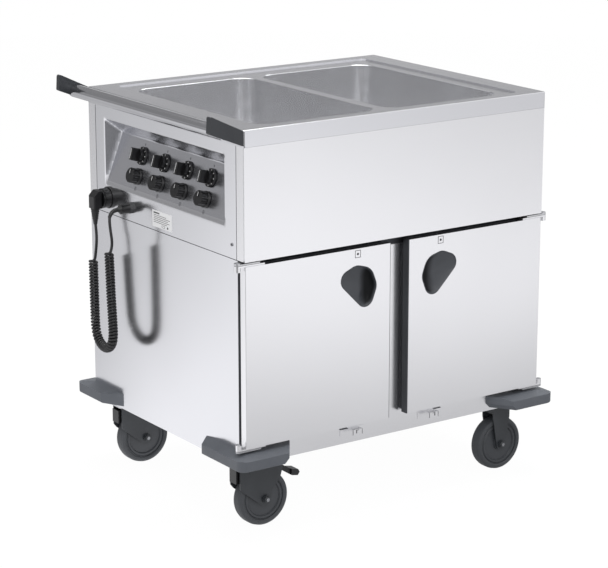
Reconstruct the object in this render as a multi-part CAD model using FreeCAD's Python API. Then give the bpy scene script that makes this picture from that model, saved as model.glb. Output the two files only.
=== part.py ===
import FreeCAD, Part
import math
import os

# Mobile steam table: two heated wells over two heated cupboards, on four castors.
# Millimetres. +Z up, +X along the doors to the right, the operator's end at -X, doors at -Y.
# The origin is on the floor, under the middle of the outer box measured without the lead.

V = FreeCAD.Vector

# ---- driving dimensions: the cabinet ------------------------------------------------------
cabinet_width = 804.0
cabinet_depth = 642.0
deck_top = 890.0
rim_height = 36.0
housing_bottom = 611.6
base_bottom = 157.0
sheet = 1.5
deck_sheet = 2.0
rim_overhang = 1.5
seam_gap = 0.8
post_width = 30.0
carcass_setback = 27.0
base_rail_top = 219.0

# ---- driving dimensions: what sets the outer box -------------------------------------------
arm_reach = 82.0
bumper_reach = 30.0
bumper_front_reach = 28.0
bumper_rear_reach = 40.0

left = -(cabinet_width + arm_reach + bumper_reach) / 2 + arm_reach
right = left + cabinet_width
front = -(cabinet_depth + bumper_front_reach + bumper_rear_reach) / 2 + bumper_front_reach
rear = front + cabinet_depth

# ---- wells ---------------------------------------------------------------------------------
well_length = 514.0
well_width = 311.0
well_corner = 40.0
well_floor = 690.0
well_front = front + 42.0
well_lefts = {"left": left + 64.5, "right": left + 400.5}
field_step = 3.0
field_margin = {"left": 56.0, "right": 54.0, "front": 27.0, "rear": 30.0}
field_corner = 16.0

# ---- cupboards and doors -------------------------------------------------------------------
cavity_width = 336.0
cavity_side = 34.0
cavity_bottom = 226.0
cavity_top = 590.0
cavity_rear = rear - 42.0
liner_sheet = 1.0
runner_rise = 8.0
runner_levels = (285.0, 355.0, 425.0, 495.0)
door_width = 375.0
door_thickness = 20.0
door_bottom = 205.0
door_top = 601.6
door_skin = 1.0
hinge_out = 12.0
hinge_back = 10.0
hinge_pin_radius = 4.0
running_gap = 0.05
grip_depth = 16.0

# ---- control recess ------------------------------------------------------------------------
recess_front = front + 75.0
recess_rear = front + 571.0
recess_bottom = 677.0
recess_top = 828.0
recess_depth = 36.0
recess_knee = 797.0
recess_side_draft = 17.0
recess_slope = math.atan2(recess_depth, recess_knee - recess_bottom)
knob_first = front + 164.0
knob_pitch = 94.0
knob_rows = {"thermostat": 759.5, "switch": 714.5}
shaft_radius = 3.0
knob_height = {"thermostat": 33.0, "switch": 23.0}
skirt_radius = {"thermostat": 20.5, "switch": 18.5}
wing_half = {"width": 14.0, "thickness": 4.5}
shaft_length = 16.0

# ---- running gear --------------------------------------------------------------------------
wheel_radius = 62.5
wheel_width = 32.0
tyre_inner_radius = 50.0
axle_radius = 6.0
castor_trail = 38.0
swivel_x = left + 44.0
swivel_inset = 70.0
fixed_x = left + 734.0
fixed_inset = 60.0
cheek_inner = 17.4
cheek_sheet = 3.0
boss_proud = 1.0
fork_top = 149.2
plate_bottom = 152.0
kingpin_radius = 8.0
brake_pivot = (0.0, 131.0)

# ---- bumpers -------------------------------------------------------------------------------
bumper_low = 164.0
bumper_rim = 187.0
bumper_crest = 193.0
end_cut = 12.0

# ---- push bar ------------------------------------------------------------------------------
bar_radius = 15.0
bar_out = 40.0
bar_height = deck_top - 4.0
bracket_thickness = 14.0

# ---- lead ----------------------------------------------------------------------------------
cord_diameter = 6.5
coil_diameter = 22.0
gland_side = 462.0
gland_height = 642.0
holder_side = 556.0
holder_height = 649.0


def box(x0, x1, y0, y1, z0, z1):
    return Part.makeBox(x1 - x0, y1 - y0, z1 - z0, V(x0, y0, z0))


def upright_rod(x, y, z0, z1, radius):
    return Part.makeCylinder(radius, z1 - z0, V(x, y, z0), V(0, 0, 1))


def rod(start, direction, length, radius):
    return Part.makeCylinder(radius, length, start, direction)


def round_box(x0, x1, y0, y1, z0, z1, radius):
    solid = box(x0, x1, y0, y1, z0, z1)
    return solid.makeFillet(radius, upright_edges(solid))


def upright_edges(solid):
    found = []
    for edge in solid.Edges:
        a, b = edge.Vertexes[0].Point, edge.Vertexes[-1].Point
        if abs(a.x - b.x) < 1e-6 and abs(a.y - b.y) < 1e-6 and abs(a.z - b.z) > 1e-6:
            found.append(edge)
    return found


def prism(points, direction):
    return Part.Face(Part.makePolygon(list(points) + [points[0]])).extrude(direction)


def edges_where(solid, test):
    return [edge for edge in solid.Edges if all(test(v.Point) for v in edge.Vertexes)]


def fuse(solids):
    result = solids[0]
    for solid in solids[1:]:
        result = result.fuse(solid)
    return result.removeSplitter()


def group(solids):
    return Part.makeCompound(solids)


def mirror_side(shape):
    """Mirror across the cabinet's own middle, left to right."""
    return shape.mirror(V((left + right) / 2, 0, 0), V(1, 0, 0))


def mirror_depth(shape):
    """Mirror across the cabinet's own middle, front to rear."""
    return shape.mirror(V(0, (front + rear) / 2, 0), V(0, 1, 0))


def save(name, shape):
    shape.exportStep("parts/" + name + ".step")


# ---- routes: straight runs joined by tangent arcs ------------------------------------------

def route_wire(name, points, report=True):
    """A wire along the points, each corner rounded by an arc as large as its runs allow."""
    points = [V(*p) for p in points]
    edges = []
    radii = []
    here = points[0]
    for i in range(1, len(points) - 1):
        before = points[i] - points[i - 1]
        after = points[i + 1] - points[i]
        turn = before.getAngle(after)
        cut = 0.45 * min(before.Length, after.Length)
        radii.append(cut / math.tan(turn / 2))
        into = points[i] - before.normalize() * cut
        out = points[i] + after.normalize() * cut
        edges.append(Part.LineSegment(here, into).toShape())
        # the arc's middle lies on the line from the corner to its centre
        centre_way = (after - before).normalize()
        middle = points[i] + centre_way * (radii[-1] / math.cos(turn / 2) - radii[-1])
        edges.append(Part.Arc(into, middle, out).toShape())
        here = out
    edges.append(Part.LineSegment(here, points[-1]).toShape())
    wire = Part.Wire(edges)
    if report:
        print(name, "length", round(wire.Length, 1), "radii", [round(r) for r in radii])
    return wire


def tube_along(name, points, diameter, report=True):
    wire = route_wire(name, points, report)
    start = V(*points[0])
    way = V(*points[1]) - start
    ring = Part.Wire([Part.Circle(start, way, diameter / 2).toShape()])
    solid = wire.makePipeShell([ring], True, False)
    if report:
        ideal = math.pi * diameter ** 2 / 4 * wire.Length
        print(name, "volume over section times length", round(solid.Volume / ideal, 4))
    return solid


# ---- deck and wells ------------------------------------------------------------------------

def well_prism(side, z0, z1, grow=0.0):
    x0 = well_lefts[side] - grow
    x1 = well_lefts[side] + well_width + grow
    y0 = well_front - grow
    y1 = well_front + well_length + grow
    return round_box(x0, x1, y0, y1, z0, z1, well_corner + grow)


def top_deck():
    x0, x1 = left - rim_overhang, right + rim_overhang
    y0, y1 = front - rim_overhang, rear + rim_overhang
    z0 = deck_top - rim_height
    outer = round_box(x0, x1, y0, y1, z0, deck_top, 5.0)
    outer = outer.makeFillet(2.0, edges_where(outer, lambda p: p.z > deck_top - 0.1))
    t = deck_sheet
    shell = outer.cut(round_box(x0 + t, x1 - t, y0 + t, y1 - t, z0 - 1, deck_top - t, 3.0))
    field = [left + field_margin["left"], right - field_margin["right"],
             front + field_margin["front"], rear - field_margin["rear"]]
    low = deck_top - field_step
    under = round_box(field[0] - t, field[1] + t, field[2] - t, field[3] + t,
                      low - t, deck_top - t, field_corner + t)
    pan = round_box(*field, low, deck_top + 1, field_corner)
    shell = shell.fuse(under).cut(pan)
    for side in well_lefts:
        shell = shell.cut(well_prism(side, low - 10, deck_top + 1))
    mouth = edges_where(shell, lambda p: abs(p.z - low) < 0.01 and inside_field(p, field))
    return shell.removeSplitter() if not mouth else shell.makeFillet(1.5, mouth)


def inside_field(p, field):
    margin = 8.0
    in_x = field[0] + margin < p.x < field[1] - margin
    return in_x and field[2] + margin < p.y < field[3] - margin


def basin(side):
    top = deck_top - field_step - deck_sheet
    body = well_prism(side, well_floor - sheet, top, sheet)
    hollow = well_prism(side, well_floor, top + 5)
    bottom_edges = edges_where(hollow, lambda p: p.z < well_floor + 0.1)
    hollow = hollow.makeFillet(12.0, bottom_edges)
    flange = well_prism(side, top - sheet, top, 9.0)
    drain = upright_rod(*drain_centre(side), well_floor - 10, well_floor + 10, 11.0)
    return body.fuse(flange).cut(hollow).cut(drain).removeSplitter()


def drain_centre(side):
    return well_lefts[side] + well_width / 2, well_front + well_length - 60.0


def drain_pipes():
    """An outlet sleeve under each well, turned back and down to a capped tail under the base."""
    pipes = []
    for side in well_lefts:
        x, y = drain_centre(side)
        sleeve = upright_rod(x, y, well_floor - 16, well_floor - sheet, 15.0)
        sleeve = sleeve.cut(upright_rod(x, y, well_floor - 20, well_floor, 7.5))
        seat = upright_rod(x, y, well_floor - sheet, well_floor, 11.0)
        seat = seat.cut(upright_rod(x, y, well_floor - 5, well_floor + 5, 7.5))
        run = [(x, y, well_floor - 16), (x, y, well_floor - 52), (x, rear - 21, well_floor - 52),
               (x, rear - 21, 300), (x, rear - 21.4, base_bottom - 22)]
        bend = tube_along("drain", run, 18.0, False).cut(tube_along("bore", run, 15.0, False))
        cap = upright_rod(x, rear - 21.4, base_bottom - 34, base_bottom - 22, 13.0)
        pipes.append(fuse([sleeve, seat, bend, cap]))
    return group(pipes)


# ---- housing -------------------------------------------------------------------------------

housing_top = deck_top - rim_height


def upper_front_panel():
    z0, z1 = housing_bottom, housing_top
    face = box(left, right, front, front + sheet, z0, z1)
    left_return = box(left, left + sheet, front, front + post_width, z0, z1)
    right_return = box(right - sheet, right, front, front + post_width, z0, z1)
    lip = box(left, right, front, front + carcass_setback, z0, z0 + sheet)
    panel = fuse([face, left_return, right_return, lip])
    for x in (left, right):
        groove = box(x - 0.9, x + 0.9, front + 2.0, front + 3.0, z0 - 1, z1 + 1)
        panel = panel.cut(groove)
    return panel


def upper_right_panel():
    z0, z1 = housing_bottom, housing_top
    y0, y1 = front + post_width + seam_gap, rear - post_width - seam_gap
    face = box(right - sheet, right, y0, y1, z0, z1)
    lip = box(right - 20, right, y0, y1, z0, z0 + sheet)
    return fuse([face, lip])


def recess_wedge(grow):
    """The pressed control recess: sloping face, sloping ceiling, drafted ends."""
    y0, y1 = recess_front - grow, recess_rear + grow
    mouth = [V(left, y0, recess_bottom - grow), V(left, y1, recess_bottom - grow),
             V(left, y1, recess_top + grow), V(left, y0, recess_top + grow)]
    x = left + recess_depth + grow
    d = recess_side_draft
    knee = [V(x, y0 + d, recess_knee), V(x, y1 - d, recess_knee)]
    quads = [mouth, [mouth[0], mouth[1], knee[1], knee[0]], [mouth[3], mouth[2], knee[1], knee[0]],
             [mouth[0], mouth[3], knee[0]], [mouth[1], mouth[2], knee[1]]]
    faces = [Part.Face(Part.makePolygon(q + [q[0]])) for q in quads]
    solid = Part.makeSolid(Part.makeShell(faces))
    if solid.Volume < 0:
        solid.reverse()
    return solid


def inward():
    """Unit vector into the cabinet, square to the sloping face of the recess."""
    return V(math.cos(recess_slope), 0, -math.sin(recess_slope))


def knob_seat(row, column):
    z = knob_rows[row]
    x = left + (z - recess_bottom) * math.tan(recess_slope)
    return V(x, knob_first + knob_pitch * column, z)


def knob_places():
    return [(row, column) for row in knob_rows for column in range(4)]


def control_panel():
    z0, z1 = housing_bottom, housing_top
    y0, y1 = front + post_width + seam_gap, rear - post_width - seam_gap
    face = box(left, left + sheet, y0, y1, z0, z1)
    hollow = recess_wedge(0.0)
    mouth = box(left - 3, left + 0.01, recess_front, recess_rear, recess_bottom, recess_top)
    panel = face.fuse(recess_wedge(sheet)).cut(hollow).cut(mouth)
    for row, column in knob_places():
        hole = rod(knob_seat(row, column) - inward() * 5, inward(), 12, shaft_radius + 1.2)
        panel = panel.cut(hole)
    lead_hole = rod(V(left - 5, front + gland_side, gland_height), V(1, 0, 0), 12, 8.1)
    return panel.cut(lead_hole).removeSplitter()


def rear_panel():
    face = box(left, right, rear - sheet, rear, base_bottom, housing_top)
    returns = []
    for x in (left, right - sheet):
        returns.append(box(x, x + sheet, rear - post_width, rear, housing_bottom, housing_top))
    return fuse([face] + returns)


def side_panel():
    """Lower side skin with its folded front stile and bottom lip."""
    z0, z1 = base_bottom, housing_bottom - seam_gap
    y0 = front + carcass_setback
    y1 = rear - sheet
    face = box(left, left + sheet, y0, y1, z0, z1)
    stile = box(left, left + cavity_side - 14, y0, y0 + sheet, base_rail_top, z1)
    return fuse([face, stile])


def base_tray():
    y0 = front + carcass_setback
    x0, x1 = left + sheet, right - sheet
    floor = box(x0, x1, y0, rear - sheet, base_bottom, base_bottom + sheet)
    rail = box(x0, x1, y0, y0 + sheet, base_bottom, base_rail_top)
    fold = box(x0 + 20, x1 - 20, y0, y0 + 18, base_rail_top - sheet, base_rail_top)
    tray = fuse([floor, rail, fold])
    for side in well_lefts:
        x, _ = drain_centre(side)
        tray = tray.cut(upright_rod(x, rear - 21.4, base_bottom - 5, base_bottom + 5, 11.0))
    return tray


def chassis_rails():
    """Two square tubes that carry the castor plates."""
    rails = []
    for y in (front + 78.0, rear - 78.0):
        z0, z1 = base_bottom + sheet, base_bottom + sheet + 30
        outer = box(left + 12, right - 12, y - 20, y + 20, z0, z1)
        rails.append(outer.cut(box(left + 11, right - 11, y - 18, y + 18, z0 + 2, z1 - 2)))
    return rails


def cavity_span(side):
    if side == "left":
        return left + cavity_side, left + cavity_side + cavity_width
    return right - cavity_side - cavity_width, right - cavity_side


def door_frame():
    """Front frame of the cupboards: top rail, stiles and the post between the doors."""
    y0 = front + carcass_setback
    x0, x1 = left + cavity_side - 14 + 0.4, right - cavity_side + 14 - 0.4
    frame = box(x0, x1, y0, y0 + sheet, base_rail_top, housing_bottom)
    for side in ("left", "right"):
        a, b = cavity_span(side)
        frame = frame.cut(box(a, b, y0 - 1, y0 + 3, cavity_bottom, cavity_top))
    return frame


def cupboard_liner(side):
    """Five-sided inner box with pressed runner ribs for food containers."""
    a, b = cavity_span(side)
    y0 = front + carcass_setback + sheet
    t = liner_sheet
    shell = box(a - t, b + t, y0, cavity_rear + t, cavity_bottom - t, cavity_top + t)
    shell = shell.cut(box(a, b, y0 - 1, cavity_rear, cavity_bottom, cavity_top))
    ribs = []
    for z in runner_levels:
        for x, way in ((a, 1), (b, -1)):
            end = x + way * runner_rise
            corners = [V(x, y0 + 14, z - 9), V(end, y0 + 14, z - 2), V(end, y0 + 14, z + 2),
                       V(x, y0 + 14, z + 4)]
            ribs.append(prism(corners, V(0, cavity_rear - y0 - 34, 0)))
    return fuse([shell] + ribs)


def insulation():
    """Mineral wool round both liners, hidden behind the skins."""
    y0, y1 = front + carcass_setback + 20, rear - sheet - 1
    z0, z1 = base_bottom + 34, housing_bottom - 2
    block = box(left + 4, right - 4, y0, y1, z0, z1)
    for side in ("left", "right"):
        a, b = cavity_span(side)
        g = liner_sheet + 0.4
        block = block.cut(box(a - g, b + g, y0 - 1, cavity_rear + g, cavity_bottom - g - 8,
                              cavity_top + g))
        x, _ = drain_centre(side)
        block = block.cut(box(x - 14, x + 14, cavity_rear, y1 + 1, z0 - 1, z1 + 1))
    return block


def heating_elements():
    """A flat mat bonded under each well and a rod loop inside each cupboard."""
    pieces = []
    for side in well_lefts:
        x0 = well_lefts[side] + 22
        y0 = well_front + 22
        z1 = well_floor - sheet - 0.2
        pieces.append(box(x0, x0 + well_width - 44, y0, y0 + well_length - 130, z1 - 4, z1))
        a, b = cavity_span(side)
        z = cavity_bottom + 16
        y = cavity_rear
        loop = [(a + 60, y, z), (a + 60, y - 200, z), (a + 60.5, y - 400, z),
                (b - 60.5, y - 400, z), (b - 60, y - 200, z), (b - 60, y, z)]
        pieces.append(tube_along("heater", loop, 8.0, False))
    return group(pieces)


def control_switches():
    """Thermostat and switch bodies behind the recess, bored for the knob shafts."""
    bodies = []
    for row, column in knob_places():
        start = knob_seat(row, column) + inward() * (sheet + 0.6)
        body = rod(start, inward(), 22, 17.0)
        bodies.append(body.cut(rod(start - inward(), inward(), 15, shaft_radius + running_gap)))
    return group(bodies)


def knob_shell(row):
    """One knob about +X, its seat at the origin, its shaft pointing along +X."""
    skirt = rod(V(-1.0, 0, 0), V(-1, 0, 0), 5.0, skirt_radius[row])
    skirt = skirt.makeChamfer(1.5, edges_where(skirt, lambda p: p.x < -5.9))
    shaft = rod(V(-2.0, 0, 0), V(1, 0, 0), shaft_length, shaft_radius)
    tip = -knob_height[row]
    if row == "thermostat":
        crown = rod(V(-6.0, 0, 0), V(-1, 0, 0), 9.0, 14.5)
        y, z = wing_half["thickness"], wing_half["width"]
        wing = box(tip, -6.0, -y, y, -z, z)
        wing = wing.makeFillet(2.5, edges_where(wing, lambda p: p.x < tip + 0.1))
        return fuse([skirt, crown, wing, shaft])
    grip = rod(V(-6.0, 0, 0), V(-1, 0, 0), -tip - 6.0, 17.0)
    grip = grip.makeFillet(2.0, edges_where(grip, lambda p: p.x < tip + 0.1))
    flutes = 12
    for i in range(flutes):
        a = 2 * math.pi * i / flutes
        start = V(-6.5, 18.6 * math.cos(a), 18.6 * math.sin(a))
        grip = grip.cut(rod(start, V(-1, 0, 0), 30, 3.6))
    pointer = box(tip - 1.0, tip + 0.5, -1.5, 1.5, 2.0, 15.0)
    return fuse([skirt, grip, pointer, shaft])


def knob(row, column):
    shape = knob_shell(row)
    shape.rotate(V(0, 0, 0), V(0, 1, 0), math.degrees(recess_slope))
    shape.translate(knob_seat(row, column))
    return shape


def rating_plate():
    return box(left - 0.5, left, front + 286, front + 368, 620, 657)


def panel_screws():
    heads = []
    for y in (front + 48.0, front + 590.0):
        heads.append(rod(V(left, y, 641.5), V(-1, 0, 0), 1.6, 3.6))
        heads.append(rod(V(right, y, 641.5), V(1, 0, 0), 1.6, 3.6))
    for x in (left + 40.0, (left + right) / 2, right - 40.0):
        for z in (215.0, 420.0, 640.0, 820.0):
            heads.append(rod(V(x, rear, z), V(0, 1, 0), 1.6, 3.6))
    return group(heads)


# ---- push bar ------------------------------------------------------------------------------

def push_bar():
    y0 = front + bracket_thickness / 2
    y1 = rear - bracket_thickness / 2
    start = V(left - bar_out, y0, bar_height)
    outer = rod(start, V(0, 1, 0), y1 - y0, bar_radius)
    return outer.cut(rod(start - V(0, 1, 0), V(0, 1, 0), y1 - y0 + 2, bar_radius - 2))


def push_bar_brackets():
    """Two moulded arms that rise outwards from the deck rim, with a scooped outer face."""
    root = left - rim_overhang
    outline = [V(root, front, 857), V(root, front, 889), V(left - arm_reach + 2, front, 927),
               V(left - arm_reach, front, 890)]
    arm = prism(outline, V(0, bracket_thickness, 0))
    arm = arm.makeFillet(4.0, [e for e in arm.Edges if abs(e.Vertexes[0].Point.x - root) > 1
                               and abs(e.Vertexes[-1].Point.x - root) > 1
                               and abs(e.Vertexes[0].Point.y - e.Vertexes[-1].Point.y) > 1])
    scoop_radius = 150.0
    scoop_start = V(left - 54, front - scoop_radius + 3.0, 700)
    arm = arm.cut(rod(scoop_start, V(0, 0, 1), 400, scoop_radius))
    socket_start = V(left - bar_out, front + bracket_thickness / 2, bar_height)
    arm = arm.cut(rod(socket_start, V(0, 1, 0), 20, bar_radius))
    return group([arm, mirror_depth(arm)])


# ---- bumpers -------------------------------------------------------------------------------

def bumper(outline, y_out, y_step):
    """One rubber corner block: outline at the base, rounded corner, top sloping to its rim."""
    x_out = left - bumper_reach
    block = prism([V(x, y, bumper_low) for x, y in outline], V(0, 0, bumper_crest - bumper_low))
    corner = [e for e in upright_edges(block) if abs(e.Vertexes[0].Point.x - x_out) < 0.1
              and abs(e.Vertexes[0].Point.y - y_out) < 0.1]
    block = block.makeFillet(20.0, corner)
    far = 2000.0
    over_side = prism([V(x_out, -far, bumper_rim), V(x_out, -far, bumper_crest + 9),
                       V(left, -far, bumper_crest + 9), V(left, -far, bumper_crest)],
                      V(0, 2 * far, 0))
    over_end = prism([V(-far, y_out, bumper_rim), V(-far, y_out, bumper_crest + 9),
                      V(-far, y_step, bumper_crest + 9), V(-far, y_step, bumper_crest)],
                     V(2 * far, 0, 0))
    block = block.cut(over_side).cut(over_end)
    low_edges = edges_where(block, lambda p: p.z < bumper_low + 0.1
                            and (p.x < x_out + 21 or abs(p.y - y_out) < 21)
                            and not (p.x > left - 1 and abs(p.y - y_out) > 20))
    return block.makeFillet(3.0, low_edges)


def end_chamfer(x0, y0, x1, y1):
    """Wedge that takes the lower edge off the slanted end of a front bumper."""
    across = V(x1 - x0, y1 - y0, 0)
    start = V(x0, y0, bumper_low) - across * 0.2
    corners = [start + V(-end_cut - 1, 0, -1), start + V(2, 0, -1), start + V(2, 0, end_cut + 2)]
    return prism(corners, across * 1.4)


def corner_bumpers():
    """L-shaped rubber bumpers hugging the four bottom corners."""
    x_out = left - bumper_reach
    y_out = front - bumper_front_reach
    rail = front + carcass_setback
    front_block = bumper([(x_out, y_out), (left + 92, y_out), (left + 130, rail), (left, rail),
                          (left, front + 156), (x_out, front + 129)], y_out, front)
    front_block = front_block.cut(end_chamfer(left + 92, y_out, left + 130, rail))
    y_out = rear + bumper_rear_reach
    rear_block = bumper([(x_out, y_out), (left + 92, y_out), (left + 122, rear), (left, rear),
                         (left, rear - 130), (x_out, rear - 75)], y_out, rear)
    return group([front_block, mirror_side(front_block), rear_block, mirror_side(rear_block)])


# ---- hinges and doors ----------------------------------------------------------------------

def pivot(side):
    x = left - hinge_out if side == "left" else right + hinge_out
    return x, front + hinge_back


def hinge_strip(z0, z1, hole, tail_y, length):
    """A flat strip on the left hinge line, with a rounded end round the pivot."""
    x, y = pivot("left")
    eye = upright_rod(x, y, z0, z1, 7.0)
    strip = box(x, left + length, y - 7, y + 7, z0, z1)
    solids = [eye, strip]
    if tail_y:
        solids.append(box(left + 14, left + length, y - 7, tail_y, z0, z1))
    solid = fuse(solids)
    if hole:
        solid = solid.cut(upright_rod(x, y, z0 - 1, z1 + 1, hinge_pin_radius + running_gap))
    return solid


def hinge_brackets():
    """Fixed hinge plates with their pins, above and below both doors."""
    x, y = pivot("left")
    carcass = front + carcass_setback
    upper = hinge_strip(605.8, 608.8, False, carcass, 40)
    upper = upper.fuse(upright_rod(x, y, door_top - 8, 612.0, hinge_pin_radius))
    upper = upper.fuse(upright_rod(x, y, 608.8, 611.0, 7.0))
    lower = hinge_strip(197.8, 200.8, False, carcass, 40)
    lower = lower.fuse(upright_rod(x, y, 197.8, door_bottom + 8, hinge_pin_radius))
    plates = [upper.removeSplitter(), lower.removeSplitter()]
    return group(plates + [mirror_side(p) for p in plates])


def door_hinge_leaves():
    """The two leaves screwed to the top and bottom edges of the left door."""
    top = hinge_strip(door_top, door_top + 3.4, True, None, 52)
    low = hinge_strip(door_bottom - 3.4, door_bottom, True, None, 52)
    leaves = []
    for leaf in (top, low):
        zc = leaf.BoundBox.Center.z
        x, y = pivot("left")
        barrel_low = door_top - 10 if zc > 400 else door_bottom - 3.4
        barrel_high = door_top + 3.4 if zc > 400 else door_bottom + 10
        barrel = upright_rod(x, y, barrel_low, barrel_high, 7.0)
        barrel = barrel.cut(upright_rod(x, y, 0, 999, hinge_pin_radius + running_gap))
        leaves.append(leaf.fuse(barrel).removeSplitter())
    return group(leaves)


def grip_outline(grow, y):
    """Rounded three-cornered outline of the cup grip, bulged on the closing side."""
    centres = [(268.0, 534.0, 22.3), (287.5, 533.7, 30.0), (300.0, 526.0, 34.0),
               (309.0, 513.5, 30.0), (309.3, 492.0, 22.0)]
    discs = []
    corners = []
    for i in range(len(centres)):
        cx, cz, r = centres[i]
        discs.append(rod(V(left + cx, y, cz), V(0, 1, 0), 1.0, r + grow))
        corners += tangent_points(centres[i], centres[(i + 1) % len(centres)], grow)
    polygon = [V(left + px, y, pz) for px, pz in corners]
    return fuse([prism(polygon, V(0, 1, 0))] + discs)


def tangent_points(first, second, grow):
    """Outer tangent points of two circles, going clockwise as seen from the front."""
    (x1, z1, r1), (x2, z2, r2) = first, second
    r1, r2 = r1 + grow, r2 + grow
    span = math.hypot(x2 - x1, z2 - z1)
    heading = math.atan2(z2 - z1, x2 - x1)
    lean = heading + math.acos((r1 - r2) / span)
    return [(x1 + r1 * math.cos(lean), z1 + r1 * math.sin(lean)),
            (x2 + r2 * math.cos(lean), z2 + r2 * math.sin(lean))]


def grip_prism(grow, y0, y1):
    """The grip outline carried from y0 to y1, both measured from the door's front."""
    slab = grip_outline(grow, front + y0)
    face = [f for f in slab.Faces if f.CenterOfMass.y < front + y0 + 0.01][0]
    return face.extrude(V(0, y1 - y0, 0))


def door_shell():
    """Double-skinned left door, folded from sheet and open on its closing edge."""
    x0, x1 = left + 1.0, left + 1.0 + door_width
    slab = box(x0, x1, front, front + door_thickness, door_bottom, door_top)
    rounded = edges_where(slab, lambda p: p.x < x0 + 0.1)
    slab = slab.makeFillet(1.5, [e for e in rounded if abs(e.Length - (door_top - door_bottom)) < 1])
    t = door_skin
    hollow = box(x0 + t, x1 + 1, front + t, front + door_thickness - t, door_bottom + t, door_top - t)
    slab = slab.cut(hollow)
    return slab.cut(grip_prism(0.0, -1.0, 5.0))


def door_grip():
    """Moulded cup pressed into the door's front skin, with a thin lip round its mouth."""
    cup = grip_prism(0.0, -1.2, grip_depth + 1.5)
    lip = grip_prism(2.0, -1.2, 0.0)
    floor_edges = edges_where(cup, lambda p: p.y > front + grip_depth + 1)
    cup = cup.makeFillet(6.0, floor_edges)
    hollow = grip_prism(-2.0, -3.0, grip_depth)
    hollow_edges = edges_where(hollow, lambda p: p.y > front + grip_depth - 1)
    hollow = hollow.makeFillet(5.0, hollow_edges)
    return cup.fuse(lip).cut(hollow).removeSplitter()


def door_seal():
    """Soft gasket behind the door and the moulded strip that closes its free edge."""
    x0, x1 = left + 1.0, left + 1.0 + door_width
    y0, y1 = front + door_thickness, front + carcass_setback - 0.6
    outer = box(x0 + 3, x1 - 3, y0, y1, door_bottom + 3, door_top - 3)
    ring = outer.cut(box(x0 + 15, x1 - 15, y0 - 1, y1 + 1, door_bottom + 15, door_top - 15))
    t = door_skin + 0.1
    plug = box(x1 - 14, x1, front + t, front + door_thickness - t, door_bottom + t, door_top - t)
    cap = box(x1, x1 + 2.4, front + 0.6, front + door_thickness, door_bottom, door_top)
    cap_edges = edges_where(cap, lambda p: p.x > x1 + 2.3)
    cap = cap.makeFillet(1.6, [e for e in cap_edges if e.Length > 100])
    return group([ring, plug.fuse(cap).removeSplitter()])


def door_catches():
    """Folded spring catches on the base rail, one below each door."""
    y1 = front + carcass_setback
    back = box(left + 263, left + 327, y1 - 1.5, y1, 176, 192)
    tongue = box(left + 283, left + 309, front + 6, y1, 190.5, 192)
    lip = box(left + 283, left + 309, front + 6, front + 7.5, 180, 192)
    catch = fuse([back, tongue, lip])
    return group([catch, mirror_side(catch)])


# ---- castors -------------------------------------------------------------------------------

def fork_cheek(outline, y):
    """One side plate of a fork, its lower corners rounded."""
    points = [V(x, y, z) for x, z in outline]
    plate = prism(points, V(0, cheek_sheet, 0))
    edges = [e for e in plate.Edges if abs(e.Vertexes[0].Point.y - e.Vertexes[-1].Point.y) > 1
             and e.Vertexes[0].Point.z < fork_top - 1]
    return plate.makeFillet(4.0, edges)


def swivel_fork(y):
    """Pressed fork of a braked swivel castor; the swivel axis passes through (swivel_x, y)."""
    x = swivel_x
    hub = x + castor_trail
    outline = [(x - 27, fork_top), (x - 27, 97), (x - 20, 88), (x + 25, 52), (x + 38, 45),
               (x + 51, 52), (x + 55, 80), (x + 77, 106), (x + 83, 127), (x + 80, fork_top)]
    pieces = []
    for y0 in (y - cheek_inner - cheek_sheet, y + cheek_inner):
        pieces.append(fork_cheek(outline, y0))
    half = cheek_inner + cheek_sheet
    crown = box(x - 27, x + 80, y - half, y + half, fork_top - 6.2, fork_top)
    crown = crown.makeFillet(3.0, edges_where(crown, lambda p: p.z > fork_top - 0.1))
    pieces.append(crown)
    for sign in (-1, 1):
        start = V(hub, y + sign * (cheek_inner - boss_proud), wheel_radius)
        pieces.append(rod(start, V(0, sign, 0), cheek_sheet + 6.0, 9.0))
    pieces.append(rod(V(hub, y - half, wheel_radius), V(0, 1, 0), 2 * half, axle_radius))
    pivot_x = x + brake_pivot[0]
    pieces.append(rod(V(pivot_x, y - half - 2, brake_pivot[1]), V(0, 1, 0), 2 * half + 4, 3.0))
    fork = fuse(pieces)
    return fork.cut(upright_rod(x, y, 100, fork_top + 5, kingpin_radius + running_gap).common(
        upright_rod(x, y, fork_top - 8, fork_top + 5, 40)))


def brake_pedal(y):
    """Rocker inside the fork: a release pad in front, the brake pad trailing behind."""
    x = swivel_x
    outline = [(x - 33, 138), (x - 33, 107), (x - 25, 107), (x - 20, 122), (x - 10, 127),
               (x + 60, 128.6), (x + 86, 116), (x + 112, 99), (x + 128, 96), (x + 133, 103),
               (x + 129, 110), (x + 110, 114), (x + 90, 127), (x + 70, 136.5), (x - 20, 136.5),
               (x - 25, 138)]
    half = 13.0
    lever = prism([V(px, y - half, pz) for px, pz in outline], V(0, 2 * half, 0))
    tip_edges = [e for e in lever.Edges if e.Vertexes[0].Point.x > x + 110
                 and abs(e.Vertexes[0].Point.y - e.Vertexes[-1].Point.y) > 1]
    lever = lever.makeFillet(1.5, tip_edges)
    for y0 in (y - 30, y + 8):
        lever = lever.cut(box(x + 94, x + 112, y0, y0 + 22, 90, 130))
    bore = rod(V(x + brake_pivot[0], y - 20, brake_pivot[1]), V(0, 1, 0), 40, 3.0 + running_gap)
    return lever.cut(bore)


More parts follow.
